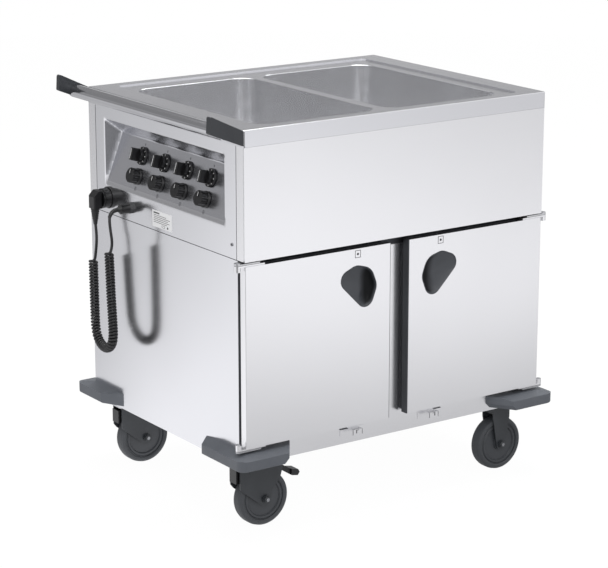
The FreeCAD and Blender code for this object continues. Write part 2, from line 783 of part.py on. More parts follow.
def castor_plates():
    """Top plates, bearing races, kingpins and bolt heads of the two swivel castors."""
    pieces = []
    for y in (front + swivel_inset, rear - swivel_inset):
        x = swivel_x
        plate = box(x - 42, x + 42, y - 40, y + 40, plate_bottom, base_bottom)
        plate = plate.makeFillet(8.0, upright_edges(plate))
        race = upright_rod(x, y, fork_top + 0.4, plate_bottom, 24.0)
        pin = upright_rod(x, y, fork_top - 10.7, plate_bottom, kingpin_radius)
        head = upright_rod(x, y, fork_top - 10.7, fork_top - 6.6, 12.0)
        pieces.append(fuse([plate, race, pin, head]))
    return group(pieces)


def fixed_fork(y):
    """Rigid fork: mounting plate, two tapering legs and the axle."""
    x = fixed_x
    z0 = plate_bottom
    half = cheek_inner + cheek_sheet
    plate = box(x - 45, x + 45, y - 33, y + 33, z0, base_bottom)
    plate = plate.makeFillet(8.0, upright_edges(plate))
    pieces = [plate]
    outline = [(x - 24, z0), (x - 24, 126), (x - 12, 58), (x - 8, 50), (x + 8, 50), (x + 12, 58),
               (x + 24, 126), (x + 24, z0)]
    for y0 in (y - half, y + cheek_inner):
        pieces.append(fork_cheek(outline, y0))
    pieces.append(box(x - 24, x + 24, y - half, y + half, 138, z0))
    for sign in (-1, 1):
        start = V(x, y + sign * (cheek_inner - boss_proud), wheel_radius)
        pieces.append(rod(start, V(0, sign, 0), cheek_sheet + 5.0, 9.0))
    pieces.append(rod(V(x, y - half, wheel_radius), V(0, 1, 0), 2 * half, axle_radius))
    return fuse(pieces)


def ring_about_y(x, y, profile):
    """Revolve a closed profile of (radius, offset) about the wheel's axle."""
    points = [V(x + r, y + w, wheel_radius) for r, w in profile]
    face = Part.Face(Part.makePolygon(points + [points[0]]))
    return face.revolve(V(x, y, wheel_radius), V(0, 1, 0), 360)


def tyre(x, y):
    half = wheel_width / 2
    profile = [(tyre_inner_radius, -half + 2), (tyre_inner_radius, half - 2),
               (53, half), (57, half), (61, half - 3), (wheel_radius, half - 9),
               (wheel_radius, -half + 9), (61, -half + 3), (57, -half), (53, -half)]
    return ring_about_y(x, y, profile)


def wheel_rim(x, y):
    """Moulded wheel centre with a stepped disc and a hub bored for the axle."""
    half = wheel_width / 2
    bore = axle_radius + running_gap
    side = [(bore, half), (15, half), (16, half - 4), (40, half - 5), (42, half - 2),
            (46, half - 2), (48, half - 4), (tyre_inner_radius, half - 4)]
    profile = side + [(r, -w) for r, w in reversed(side)]
    return ring_about_y(x, y, profile)


# ---- lead, gland, plug and its holder ------------------------------------------------------

def lead_gland():
    """Hexagon nut, dome nut and tapered sleeve where the lead leaves the housing."""
    start = V(left, front + gland_side, gland_height)
    points = []
    for i in range(6):
        a = math.pi / 3 * i
        points.append(start + V(0, 13 * math.cos(a), 13 * math.sin(a)))
    nut = prism(points, V(-7, 0, 0))
    dome = Part.makeCone(12.0, 11.2, 20, start + V(-7, 0, 0), V(-1, 0, 0))
    sleeve = Part.makeCone(9.4, 5.2, 7, start + V(-27, 0, 0), V(-1, 0, 0))
    tail = rod(start, V(1, 0, 0), 8, 8.0)
    lock = rod(start + V(sheet, 0, 0), V(1, 0, 0), 5, 12.0)
    return fuse([nut, dome, sleeve, tail, lock])


def plug_holder():
    """Blank socket on the housing that parks the plug when the lead is not in use."""
    start = V(left, front + holder_side, holder_height)
    flange = rod(start, V(-1, 0, 0), 5, 25.0)
    barrel = rod(start + V(-5, 0, 0), V(-1, 0, 0), 16, 22.5)
    solid = flange.fuse(barrel)
    solid = solid.cut(rod(start + V(-7, 0, 0), V(-1, 0, 0), 20, 19.6))
    for offset in (-9.5, 9.5):
        solid = solid.cut(rod(start + V(-2, 0, offset), V(-1, 0, 0), 10, 2.8))
    return solid


def lead_plug():
    """Right-angled plug parked in the holder, its neck pointing down."""
    centre = V(left, front + holder_side, holder_height)
    nose = rod(centre + V(-7.3, 0, 0), V(-1, 0, 0), 16, 19.2)
    collar = rod(centre + V(-21.3, 0, 0), V(-1, 0, 0), 4, 21.5)
    body = box(left - 48, left - 25, centre.y - 14, centre.y + 13, centre.z - 20, centre.z + 20)
    shoulder = prism([V(left - 50, -999, centre.z + 5), V(left - 50, -999, centre.z + 21),
                      V(left - 34, -999, centre.z + 21)], V(0, 1998, 0))
    body = body.cut(shoulder)
    body = body.makeFillet(4.0, upright_edges(body))
    neck = Part.makeCone(10.0, 4.4, 38, V(left - 38, centre.y, centre.z - 19), V(0, 0, -1))
    pieces = [nose, collar, body, neck]
    for offset in (-9.5, 9.5):
        pieces.append(rod(centre + V(-8, 0, offset), V(1, 0, 0), 5, 2.4))
    return fuse(pieces)


# route points, measured from the cabinet's left side, from the door front and from the floor
gland_route = [(-34.0, 462.0, 642.0), (-44.0, 461.6, 640.9), (-52.5, 459.8, 636.0),
               (-58.0, 456.8, 628.0), (-60.5, 452.0, 614.0), (-61.0, 446.5, 594.5),
               (-60.5, 442.0, 573.0), (-60.0, 452.0, 550.0)]
coil_route = [(-60.0, 459.0, 550.0), (-59.5, 457.0, 500.0), (-59.0, 456.0, 450.0),
              (-58.0, 453.5, 400.0), (-56.5, 453.5, 349.0), (-54.5, 471.5, 324.5),
              (-52.5, 501.0, 315.0), (-50.5, 530.5, 324.5), (-48.5, 548.5, 349.0),
              (-47.0, 552.5, 400.0), (-46.0, 555.5, 455.0), (-45.0, 558.0, 511.0)]
plug_route = [(-45.0, 551.5, 511.0), (-43.5, 548.0, 529.0), (-41.5, 547.0, 549.0),
              (-38.5, 551.0, 571.0), (-38.0, 556.0, 592.0)]


def placed(route):
    return [(left + x, front + y, z) for x, y, z in route]


def main():
    os.makedirs("parts", exist_ok=True)
    save("top_deck", top_deck())
    for side in well_lefts:
        save("basin_" + side, basin(side))
        save("cupboard_liner_" + side, cupboard_liner(side))
    save("drain_pipes", drain_pipes())
    save("upper_front_panel", upper_front_panel())
    save("upper_right_panel", upper_right_panel())
    save("control_panel", control_panel())
    save("rear_panel", rear_panel())
    save("side_panel_left", side_panel())
    save("side_panel_right", mirror_side(side_panel()))
    save("base_frame", group([base_tray()] + chassis_rails()))
    save("door_frame", door_frame())
    save("insulation", insulation())
    save("heating_elements", heating_elements())
    save("control_switches", control_switches())
    save("rating_plate", rating_plate())
    save("panel_screws", panel_screws())
    save("push_bar", push_bar())
    save("push_bar_brackets", push_bar_brackets())
    save("corner_bumpers", corner_bumpers())
    save("hinge_brackets", hinge_brackets())
    save("door_catches", door_catches())

    door_pieces = {"shell": door_shell, "grip": door_grip, "seal": door_seal,
                   "hinge_leaves": door_hinge_leaves}
    for piece, make in door_pieces.items():
        solid = make()
        save("door_left_" + piece, solid)
        save("door_right_" + piece, mirror_side(solid))

    for row, column in knob_places():
        save(row + "_knob_" + str(column + 1), knob(row, column))

    save("castor_plates", castor_plates())
    save("fixed_castor_forks", group([fixed_fork(front + fixed_inset), fixed_fork(rear - fixed_inset)]))
    for end, y in (("front", front + swivel_inset), ("rear", rear - swivel_inset)):
        save("swivel_fork_" + end, swivel_fork(y))
        save("brake_pedal_" + end, brake_pedal(y))
        hub = swivel_x + castor_trail
        save("wheel_left_" + end, wheel_rim(hub, y))
        save("tyre_left_" + end, tyre(hub, y))
    for end, y in (("front", front + fixed_inset), ("rear", rear - fixed_inset)):
        save("wheel_right_" + end, wheel_rim(fixed_x, y))
        save("tyre_right_" + end, tyre(fixed_x, y))

    save("lead_gland", lead_gland())
    save("plug_holder", plug_holder())
    save("lead_plug", lead_plug())
    save("lead_gland_side", tube_along("gland side", placed(gland_route), cord_diameter))
    save("lead_coil", tube_along("coil", placed(coil_route), coil_diameter))
    save("lead_plug_side", tube_along("plug side", placed(plug_route), cord_diameter))


main()
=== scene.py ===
import bpy, bmesh, math
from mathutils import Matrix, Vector


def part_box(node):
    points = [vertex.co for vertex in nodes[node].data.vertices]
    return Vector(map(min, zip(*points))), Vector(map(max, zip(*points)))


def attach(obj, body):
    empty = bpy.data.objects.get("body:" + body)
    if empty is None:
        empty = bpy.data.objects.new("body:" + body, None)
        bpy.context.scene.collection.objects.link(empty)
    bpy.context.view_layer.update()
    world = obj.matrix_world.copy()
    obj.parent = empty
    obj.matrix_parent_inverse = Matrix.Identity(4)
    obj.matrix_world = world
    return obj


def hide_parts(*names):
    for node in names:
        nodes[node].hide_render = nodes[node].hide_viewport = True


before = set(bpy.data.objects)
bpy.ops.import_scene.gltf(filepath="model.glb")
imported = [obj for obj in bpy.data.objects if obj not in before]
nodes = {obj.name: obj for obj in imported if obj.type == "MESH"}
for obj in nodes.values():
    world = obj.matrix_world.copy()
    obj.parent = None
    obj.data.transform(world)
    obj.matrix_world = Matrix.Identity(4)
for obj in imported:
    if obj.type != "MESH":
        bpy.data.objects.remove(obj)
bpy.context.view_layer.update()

scene = bpy.context.scene
print("frame loaded,", len(nodes), "nodes")

# everything is measured from the cabinet: its control end, its door front and the floor
cabinetLeft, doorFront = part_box("rear_panel")[0].x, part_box("upper_front_panel")[0].y
cabinetRight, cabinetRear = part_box("rear_panel")[1].x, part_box("rear_panel")[1].y
cabinetWide, cabinetDeep = 0.804, 0.642
toLeft, toRight = Vector((-1, 0, 0)), Vector((1, 0, 0))
toFront, toRear = Vector((0, -1, 0)), Vector((0, 1, 0))
upward = Vector((0, 0, 1))


def at(x, y, z):
    return Vector((cabinetLeft + x, doorFront + y, z))


# the camera
cameraView = {"place": (-2.7851, -4.0104, 1.7371), "turn": 34.783, "tilt": -14.891, "roll": 0.015,
              "lens": 130.24, "sensor": 36, "clip": 200}


def makeCamera():
    cam = bpy.data.objects.new("camera", bpy.data.cameras.new("camera"))
    scene.collection.objects.link(cam)
    cam.location = cameraView["place"]
    cam.rotation_euler = (math.radians(90 + cameraView["tilt"]), math.radians(cameraView["roll"]),
                          -math.radians(cameraView["turn"]))
    cam.data.lens = cameraView["lens"]
    cam.data.sensor_width = cameraView["sensor"]
    cam.data.clip_end = cameraView["clip"]
    scene.camera = cam


makeCamera()
print("camera set")

# mesh helpers


def smooth(v):
    v = max(0.0, min(1.0, v))
    return v * v * (3 - 2 * v)


def link(obj):
    scene.collection.objects.link(obj)
    return obj


def meshObject(name, verts, faces, material, rounded=True):
    mesh = bpy.data.meshes.new(name)
    mesh.from_pydata([tuple(v) for v in verts], [], faces)
    mesh.update()
    tidy = bmesh.new()
    tidy.from_mesh(mesh)
    bmesh.ops.recalc_face_normals(tidy, faces=tidy.faces)
    tidy.to_mesh(mesh)
    tidy.free()
    for face in mesh.polygons:
        face.use_smooth = rounded
    obj = link(bpy.data.objects.new(name, mesh))
    mesh.materials.append(material)
    return obj


def finishPiece(obj, body, replaces=(), angle=None):
    if angle:
        split = obj.modifiers.new("edges", "EDGE_SPLIT")
        split.split_angle = math.radians(angle)
    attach(obj, body)
    if replaces:
        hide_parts(*replaces)
    return obj


def tangentsAlong(line):
    tangents = []
    for i in range(len(line)):
        a, b = line[max(i - 1, 0)], line[min(i + 1, len(line) - 1)]
        tangents.append((b - a).normalized())
    return tangents


def nurbsLine(points, resolution=12):
    curve = bpy.data.curves.new("route", "CURVE")
    curve.dimensions = "3D"
    spline = curve.splines.new("NURBS")
    spline.points.add(len(points) - 1)
    for p, q in zip(spline.points, points):
        p.co = (*q, 1)
    spline.order_u = 3
    spline.use_endpoint_u = True
    spline.resolution_u = resolution
    obj = link(bpy.data.objects.new("route", curve))
    bpy.context.view_layer.update()
    mesh = bpy.data.meshes.new_from_object(obj)
    line = [v.co.copy() for v in mesh.vertices]
    bpy.data.objects.remove(obj)
    bpy.data.curves.remove(curve)
    bpy.data.meshes.remove(mesh)
    return line


def spacedLine(line, count):
    lengths = [0.0]
    for a, b in zip(line, line[1:]):
        lengths.append(lengths[-1] + (b - a).length)
    total = lengths[-1]
    found, k = [], 0
    for i in range(count):
        s = total * i / (count - 1)
        while k < len(line) - 2 and lengths[k + 1] < s:
            k += 1
        span = lengths[k + 1] - lengths[k] or 1.0
        found.append(line[k].lerp(line[k + 1], (s - lengths[k]) / span))
    return found, total


def tubeAlong(name, line, radii, material, sides=20):
    tangents = tangentsAlong(line)
    side = tangents[0].orthogonal().normalized()
    verts, faces = [], []
    for i, (p, t) in enumerate(zip(line, tangents)):
        side = (side - t * side.dot(t)).normalized()
        up = t.cross(side)
        for k in range(sides):
            a = 2 * math.pi * k / sides
            verts.append(p + (side * math.cos(a) + up * math.sin(a)) * radii[i])
    for i in range(len(line) - 1):
        for k in range(sides):
            n = (k + 1) % sides
            faces.append((i * sides + k, i * sides + n, (i + 1) * sides + n, (i + 1) * sides + k))
    faces.append(tuple(range(sides)))
    faces.append(tuple((len(line) - 1) * sides + k for k in range(sides)))
    return meshObject(name, verts, faces, material)


# materials


class Nodes:
    def __init__(self, name):
        self.material = bpy.data.materials.new(name)
        self.material.use_nodes = True
        self.tree = self.material.node_tree
        self.tree.nodes.clear()
        self.output = self.add("ShaderNodeOutputMaterial")
        self.shader = self.add("ShaderNodeBsdfPrincipled")
        self.join(self.shader, "BSDF", self.output, "Surface")
        self.place = self.add("ShaderNodeTexCoord")

    def add(self, kind, **values):
        node = self.tree.nodes.new(kind)
        for key, value in values.items():
            if key in node.inputs:
                node.inputs[key].default_value = value
            else:
                setattr(node, key, value)
        return node

    def join(self, a, out, b, into):
        self.tree.links.new(a.outputs[out], b.inputs[into])

    def noise(self, stretch, detail=3.0, rough=0.55, distortion=0.0):
        scaled = self.add("ShaderNodeMapping")
        scaled.inputs["Scale"].default_value = stretch
        self.join(self.place, "Object", scaled, "Vector")
        texture = self.add("ShaderNodeTexNoise", Detail=detail, Roughness=rough, Distortion=distortion,
                           Scale=1.0)
        self.join(scaled, "Vector", texture, "Vector")
        return texture

    def spread(self, source, low, high, fromLow=0.3, fromHigh=0.7):
        node = self.add("ShaderNodeMapRange")
        for key, value in (("From Min", fromLow), ("From Max", fromHigh), ("To Min", low), ("To Max", high)):
            node.inputs[key].default_value = value
        self.join(source, 0, node, "Value")
        return node

    def blend(self, share, first, second):
        node = self.add("ShaderNodeMix", data_type="RGBA")
        self.join(share, 0, node, 0)
        for index, colour in ((6, first), (7, second)):
            if hasattr(colour, "outputs"):
                self.join(colour, 2, node, index)
            else:
                node.inputs[index].default_value = (*colour, 1)
        return node

    def bump(self, source, strength, distance):
        node = self.add("ShaderNodeBump", Strength=strength, Distance=distance)
        self.join(source, 0, node, "Height")
        self.join(node, "Normal", self.shader, "Normal")


# brushed and satin metals: faint streaks along the grain, faint broad clouds
steelLooks = {
    "sideSteel": {"grain": (600, 9, 600), "tone": (0.765, 0.768, 0.792),
                  "rough": (0.165, 0.185), "metal": 1.0},
    "frontSteel": {"grain": (9, 600, 600), "tone": (0.830, 0.830, 0.845),
                   "rough": (0.235, 0.255), "metal": 1.0},
    "deckSteel": {"grain": (9, 600, 600), "tone": (0.740, 0.743, 0.768),
                  "rough": (0.21, 0.23), "metal": 1.0},
    # the recess steel is a darker copy of the side steel: painted shade inside the recess
    "recessShadeSteel": {"grain": (400, 20, 400), "tone": (0.640, 0.645, 0.675),
                    "rough": (0.24, 0.27), "metal": 1.0},
    "wellSteel": {"grain": (40, 40, 40), "tone": (0.735, 0.738, 0.752),
                  "rough": (0.22, 0.26), "metal": 0.90},
    "linerSteel": {"grain": (40, 40, 40), "tone": (0.560, 0.565, 0.585),
                   "rough": (0.32, 0.40), "metal": 0.6},
    # a darker copy still: painted shade on the recess end faces
    "recessEndShadeSteel": {"grain": (400, 20, 400), "tone": (0.420, 0.425, 0.450),
                       "rough": (0.24, 0.27), "metal": 1.0},
    "tubeSteel": {"grain": (500, 12, 500), "tone": (0.640, 0.643, 0.665),
                  "rough": (0.10, 0.13), "metal": 1.0},
    "zincSteel": {"grain": (90, 90, 90), "tone": (0.600, 0.605, 0.620),
                  "rough": (0.28, 0.38), "metal": 1.0},
    # dark joint finish, also used as painted shade in the gap above the doors and beside the door catches
    "seamAndShadeSteel": {"grain": (90, 90, 90), "tone": (0.050, 0.052, 0.058),
                  "rough": (0.40, 0.50), "metal": 0.8},
    "screwSteel": {"grain": (200, 200, 200), "tone": (0.300, 0.305, 0.320),
                   "rough": (0.26, 0.36), "metal": 1.0},
}
# moulded plastics, rubbers and prints: a fine speckled skin over a soft cloud
mouldedLooks = {
    "slatePlastic": {"speck": 900, "dark": (0.018, 0.020, 0.024), "light": (0.026, 0.029, 0.034),
                     "rough": (0.30, 0.38), "bump": 0.06},
    "bumperRubber": {"speck": 700, "dark": (0.082, 0.090, 0.104), "light": (0.104, 0.113, 0.128),
                     "rough": (0.44, 0.54), "bump": 0.12},
    "gripPlastic": {"speck": 900, "dark": (0.052, 0.056, 0.064), "light": (0.068, 0.073, 0.082),
                    "rough": (0.36, 0.46), "bump": 0.08},
    "blackPlastic": {"speck": 1100, "dark": (0.0050, 0.0050, 0.0056), "light": (0.0095, 0.0095, 0.0105),
                     "rough": (0.26, 0.36), "bump": 0.08},
    "sealRubber": {"speck": 600, "dark": (0.030, 0.033, 0.038), "light": (0.044, 0.048, 0.054),
                   "rough": (0.45, 0.58), "bump": 0.10},
    "leadRubber": {"speck": 800, "dark": (0.0050, 0.0050, 0.0058), "light": (0.0090, 0.0090, 0.0100),
                   "rough": (0.26, 0.34), "bump": 0.05},
    "tyreRubber": {"speck": 500, "dark": (0.036, 0.039, 0.044), "light": (0.048, 0.052, 0.058),
                   "rough": (0.50, 0.64), "bump": 0.16},
    "wheelPlastic": {"speck": 800, "dark": (0.032, 0.035, 0.040), "light": (0.044, 0.048, 0.054),
                     "rough": (0.38, 0.50), "bump": 0.10},
    "forkPlastic": {"speck": 800, "dark": (0.024, 0.027, 0.031), "light": (0.034, 0.038, 0.043),
                    "rough": (0.34, 0.46), "bump": 0.10},
    "whitePrint": {"speck": 900, "dark": (0.80, 0.80, 0.80), "light": (0.88, 0.88, 0.88),
                   "rough": (0.45, 0.55), "bump": 0.02},
    "greyPrint": {"speck": 900, "dark": (0.050, 0.050, 0.055), "light": (0.080, 0.080, 0.086),
                  "rough": (0.45, 0.55), "bump": 0.02},
    "woolMat": {"speck": 300, "dark": (0.50, 0.44, 0.26), "light": (0.62, 0.56, 0.36),
                "rough": (0.85, 0.95), "bump": 0.6},
}


def steel(name, look):
    m = Nodes(name)
    grain = m.noise(look["grain"], 3.0, 0.5)
    cloud = m.noise((1.9, 1.9, 1.9), 2.0, 0.5, 0.3)
    light = look["tone"]
    streaked = m.blend(m.spread(grain, 0.0, 1.0), [v * 0.988 for v in light], light)
    m.join(m.blend(m.spread(cloud, 0.0, 1.0), streaked, [v * 0.95 for v in light]), 2, m.shader, "Base Color")
    m.join(m.spread(grain, *look["rough"]), 0, m.shader, "Roughness")
    m.shader.inputs["Metallic"].default_value = look["metal"]
    return m.material


def moulded(name, look):
    m = Nodes(name)
    speck = m.noise((look["speck"],) * 3, 4.0, 0.65)
    cloud = m.noise((14, 14, 14), 3.0, 0.5)
    m.join(m.blend(m.spread(cloud, 0.0, 1.0), look["dark"], look["light"]), 2, m.shader, "Base Color")
    m.join(m.spread(speck, *look["rough"]), 0, m.shader, "Roughness")
    m.bump(speck, look["bump"], 0.0003)
    return m.material


materials = {}
for name, look in steelLooks.items():
    materials[name] = steel(name, look)
for name, look in mouldedLooks.items():
    materials[name] = moulded(name, look)
print("materials made,", len(materials))

# heights of the faces deep in the gap above the doors, given the dark seam finish as painted shade
gapShadeHeights = {"upper_front_panel": (0.600, 0.6135), "door_frame": (0.589, 0.620)}
gapShadeDepth = 0.0016
# the longest matching start of a node's name gives its finish
nodeFinish = {
    "top_deck": "deckSteel", "basin": "wellSteel", "cupboard_liner": "linerSteel", "drain_pipes": "tubeSteel",
    "upper_front_panel": "frontSteel", "upper_right_panel": "sideSteel", "control_panel": "sideSteel",
    "rear_panel": "frontSteel", "side_panel": "sideSteel", "base_frame": "frontSteel",
    "door_frame": "frontSteel", "insulation": "woolMat", "heating_elements": "zincSteel",
    "control_switches": "blackPlastic", "rating_plate": "whitePrint", "panel_screws": "screwSteel",
    "push_bar_brackets": "slatePlastic", "push_bar": "tubeSteel", "corner_bumpers": "bumperRubber",
    "hinge_brackets": "zincSteel", "door_catches": "frontSteel", "door_left_shell": "frontSteel",
    "door_right_shell": "frontSteel", "door_left_grip": "gripPlastic", "door_right_grip": "gripPlastic",
    "door_left_seal": "sealRubber", "door_right_seal": "sealRubber", "door_left_hinge": "frontSteel",
    "door_right_hinge": "frontSteel", "thermostat_knob": "blackPlastic", "switch_knob": "blackPlastic",
    "castor_plates": "zincSteel", "fixed_castor": "forkPlastic", "swivel_fork": "forkPlastic",
    "brake_pedal": "blackPlastic", "wheel_": "wheelPlastic", "tyre_": "tyreRubber",
    "lead_gland": "blackPlastic", "plug_holder": "blackPlastic", "lead_plug": "leadRubber",
    "lead_": "leadRubber",
}


def finishNodes():
    for name, obj in nodes.items():
        finish = nodeFinish[max((s for s in nodeFinish if name.startswith(s)), key=len)]
        obj.data.materials.clear()
        obj.data.materials.append(materials[finish])
    # painted shade: faces deep in the gap above the doors take the dark finish
    for name, (low, high) in gapShadeHeights.items():
        obj = nodes[name]
        obj.data.materials.append(materials["seamAndShadeSteel"])
        for face in obj.data.polygons:
            middle = obj.matrix_world @ face.center
            if low < middle.z < high and middle.y > doorFront + gapShadeDepth:
                face.material_index = 1


finishNodes()
print("CAD nodes finished")

# the lead
lead = {"diameter": 0.0065, "coilDiameter": 0.022, "turnPitch": 0.0070, "pointsPerTurn": 12, "endEase": 0.005,
        "fineSteps": 1200, "bendReach": 25, "turnRoom": 1.035}
reliefLook = {"start": 0.0052, "taper": 0.0013, "rib": 0.0004, "ribs": 10, "from": 0.05, "to": 0.9,
              "steps": 61}
glandRoute = [(-0.034, 0.462, 0.642), (-0.044, 0.4616, 0.6409), (-0.0525, 0.4598, 0.636),
              (-0.058, 0.4568, 0.628), (-0.0605, 0.452, 0.614), (-0.061, 0.4465, 0.5945),
              (-0.0605, 0.442, 0.573), (-0.060, 0.452, 0.550)]
coilRoute = [(-0.060, 0.459, 0.550), (-0.0595, 0.457, 0.500), (-0.059, 0.456, 0.450),
             (-0.058, 0.4535, 0.400), (-0.0565, 0.4535, 0.349), (-0.0545, 0.4715, 0.3245),
             (-0.0525, 0.501, 0.315), (-0.0505, 0.5305, 0.3245), (-0.0485, 0.5485, 0.349),
             (-0.047, 0.5525, 0.400), (-0.046, 0.5555, 0.455), (-0.045, 0.558, 0.511)]
plugRoute = [(-0.045, 0.5515, 0.511), (-0.0435, 0.548, 0.529), (-0.0415, 0.547, 0.549),
             (-0.0385, 0.551, 0.571), (-0.038, 0.556, 0.592)]


def helixPoints(line):
    # the turns open out where the coil bends, so they never cut into each other
    fine, total = spacedLine(line, lead["fineSteps"])
    last = len(fine) - 1
    step = total / last
    tangents = tangentsAlong(fine)
    radius = (lead["coilDiameter"] - lead["diameter"]) / 2
    angles = [0.0]
    for i in range(1, last + 1):
        low, high = max(i - lead["bendReach"], 0), min(i + lead["bendReach"], last)
        bend = tangents[low].angle(tangents[high]) / (step * (high - low))
        pitch = max(lead["turnPitch"], lead["diameter"] * lead["turnRoom"] / (1 - radius * bend))
        near = min(i * step, total - i * step)
        ease = min(1.0, near / lead["endEase"])
        angles.append(angles[-1] + 2 * math.pi * step * ease / pitch)
    side = toFront
    frames = []
    for t in tangents:
        side = (side - t * side.dot(t)).normalized()
        frames.append((side, t.cross(side)))
    endTurn = math.atan2(toFront.dot(frames[-1][1]), toFront.dot(frames[-1][0])) % (2 * math.pi)
    whole = round((angles[-1] - endTurn) / (2 * math.pi))
    scale = (endTurn + 2 * math.pi * whole) / angles[-1]
    angles = [v * scale for v in angles]
    count = int(angles[-1] / (2 * math.pi) * lead["pointsPerTurn"])
    grow = 1 / math.cos(math.pi / lead["pointsPerTurn"])
    found, k = [], 0
    for j in range(count + 1):
        angle = angles[-1] * j / count
        while k < len(angles) - 2 and angles[k + 1] < angle:
            k += 1
        part = (angle - angles[k]) / (angles[k + 1] - angles[k])
        centre = fine[k].lerp(fine[k + 1], part)
        n, b = frames[k]
        found.append(centre + (n * math.cos(angle) + b * math.sin(angle)) * radius * grow)
    print("lead coil,", whole, "turns")
    return found


def makeLead():
    coil = nurbsLine([at(*p) for p in coilRoute], resolution=24)
    points = [at(*p) for p in glandRoute[:-1]] + helixPoints(coil) + [at(*p) for p in plugRoute[1:]]
    curve = bpy.data.curves.new("leadCord", "CURVE")
    curve.dimensions = "3D"
    curve.bevel_depth = lead["diameter"] / 2
    curve.bevel_resolution = 4
    curve.use_fill_caps = True
    spline = curve.splines.new("NURBS")
    spline.points.add(len(points) - 1)
    for p, q in zip(spline.points, points):
        p.co = (*q, 1)
    spline.order_u = 3
    spline.use_endpoint_u = True
    spline.resolution_u = 3
    cord = link(bpy.data.objects.new("leadCord", curve))
    curve.materials.append(materials["leadRubber"])
    finishPiece(cord, "cabinet", ("lead_gland_side", "lead_coil", "lead_plug_side"))
    measured = spline.calc_length()
    print("lead length, %.4f m" % measured)
    return cord, measured


def makeStrainRelief():
    route = [at(-0.026, 0.462, 0.6428)] + [at(*p) for p in glandRoute[:4]]
    line = spacedLine(nurbsLine(route), reliefLook["steps"])[0]
    radii = []
    for i in range(len(line)):
        u = i / (len(line) - 1)
        wave = math.sin(u * reliefLook["ribs"] * 2 * math.pi)
        ribbed = reliefLook["from"] < u < reliefLook["to"] and wave > 0
        radii.append(reliefLook["start"] - reliefLook["taper"] * u + reliefLook["rib"] * ribbed)
    relief = tubeAlong("strainRelief", line, radii, materials["leadRubber"])
    return finishPiece(relief, "cabinet")


leadCord, leadLength = makeLead()
relief = makeStrainRelief()
print("lead made")

# small fitted pieces


def turned(name, profile, place, axis, material, sides=32, angle=35):
    # profile is (radius, distance along the axis); a radius of nought closes an end
    axis = Vector(axis).normalized()
    side = axis.orthogonal().normalized()
    if abs(axis.y) < 0.9:
        side = (toRear - axis * axis.y).normalized()
    up = axis.cross(side)
    verts, rows = [], []
    for radius, along in profile:
        if radius == 0:
            rows.append([len(verts)] * sides)
            verts.append(place + axis * along)
            continue
        rows.append(list(range(len(verts), len(verts) + sides)))
        for k in range(sides):
            a = 2 * math.pi * k / sides
            verts.append(place + axis * along + (side * math.cos(a) + up * math.sin(a)) * radius)
    faces = []
    for low, high in zip(rows, rows[1:]):
        for k in range(sides):
            n = (k + 1) % sides
            corner = [low[k], low[n], high[n], high[k]]
            faces.append(tuple(dict.fromkeys(corner)))
    obj = meshObject(name, verts, faces, material, sides > 8)
    if sides > 8:
        split = obj.modifiers.new("edges", "EDGE_SPLIT")
        split.split_angle = math.radians(angle)
    return obj


def thinPrint(name, outlines, place, across, up, out, material):
    # flat closed outlines given as (across, up), each raised a little off its panel
    verts, faces = [], []
    for outline in outlines:
        start = len(verts)
        for lift in (printLook["base"], printLook["lift"]):
            for a, b in outline:
                verts.append(place + across * a + up * b + out * lift)
        n = len(outline)
        faces.append(tuple(start + n + k for k in range(n)))
        for k in range(n):
            m = (k + 1) % n
            faces.append((start + k, start + m, start + n + m, start + n + k))
    return meshObject(name, verts, faces, material, False)


printLook = {"base": 0.00002, "lift": 0.00025, "stroke": 0.0011}


def bar(x0, y0, x1, y1):
    return [(x0, y0), (x1, y0), (x1, y1), (x0, y1)]


def frameBars(x0, y0, x1, y1, stroke):
    return [bar(x0, y0, x1, y0 + stroke), bar(x0, y1 - stroke, x1, y1),
            bar(x0, y0 + stroke, x0 + stroke, y1 - stroke), bar(x1 - stroke, y0 + stroke, x1, y1 - stroke)]


def roundDot(x, y, radius, count=14):
    return [(x + radius * math.cos(2 * math.pi * k / count), y + radius * math.sin(2 * math.pi * k / count))
            for k in range(count)]


tagLook = {"left": 0.282, "right": cabinetWide - 0.297, "low": 0.5815, "wide": 0.015, "tall": 0.0165,
           "dot": (0.0075, 0.0082, 0.0028)}


def doorTags():
    # a small square mark with a dot above each grip, in place of a number
    for side in ("left", "right"):
        outlines = frameBars(0, 0, tagLook["wide"], tagLook["tall"], printLook["stroke"])
        outlines.append(roundDot(*tagLook["dot"]))
        tag = thinPrint("doorTag." + side, outlines, at(tagLook[side], 0, tagLook["low"]), toRight, upward,
                        toFront, materials["greyPrint"])
        finishPiece(tag, "door_" + side)


# each line of the label is its height, its thickness and where it ends
labelLook = {"side": 0.286, "wide": 0.082, "low": 0.620, "proud": 0.0005, "margin": 0.006,
             "title": (0.0305, 0.030, 0.0335),
             "lines": [(0.0265, 0.0010, 0.058), (0.0225, 0.0010, 0.074), (0.0185, 0.0010, 0.066),
                       (0.0145, 0.0010, 0.072), (0.0105, 0.0010, 0.062)],
             "box": (0.040, 0.0028, 0.052, 0.0078, 0.0007), "dot": (0.064, 0.0052, 0.0026)}


def ratingLabel():
    margin = labelLook["margin"]
    outlines = [bar(margin, *labelLook["title"])]
    for height, thick, end in labelLook["lines"]:
        outlines.append(bar(margin, height, end, height + thick))
    outlines += frameBars(*labelLook["box"]) + [roundDot(*labelLook["dot"])]
    place = at(-labelLook["proud"], labelLook["side"] + labelLook["wide"], labelLook["low"])
    finishPiece(thinPrint("labelPrint", outlines, place, toFront, upward, toLeft, materials["greyPrint"]),
                "cabinet")


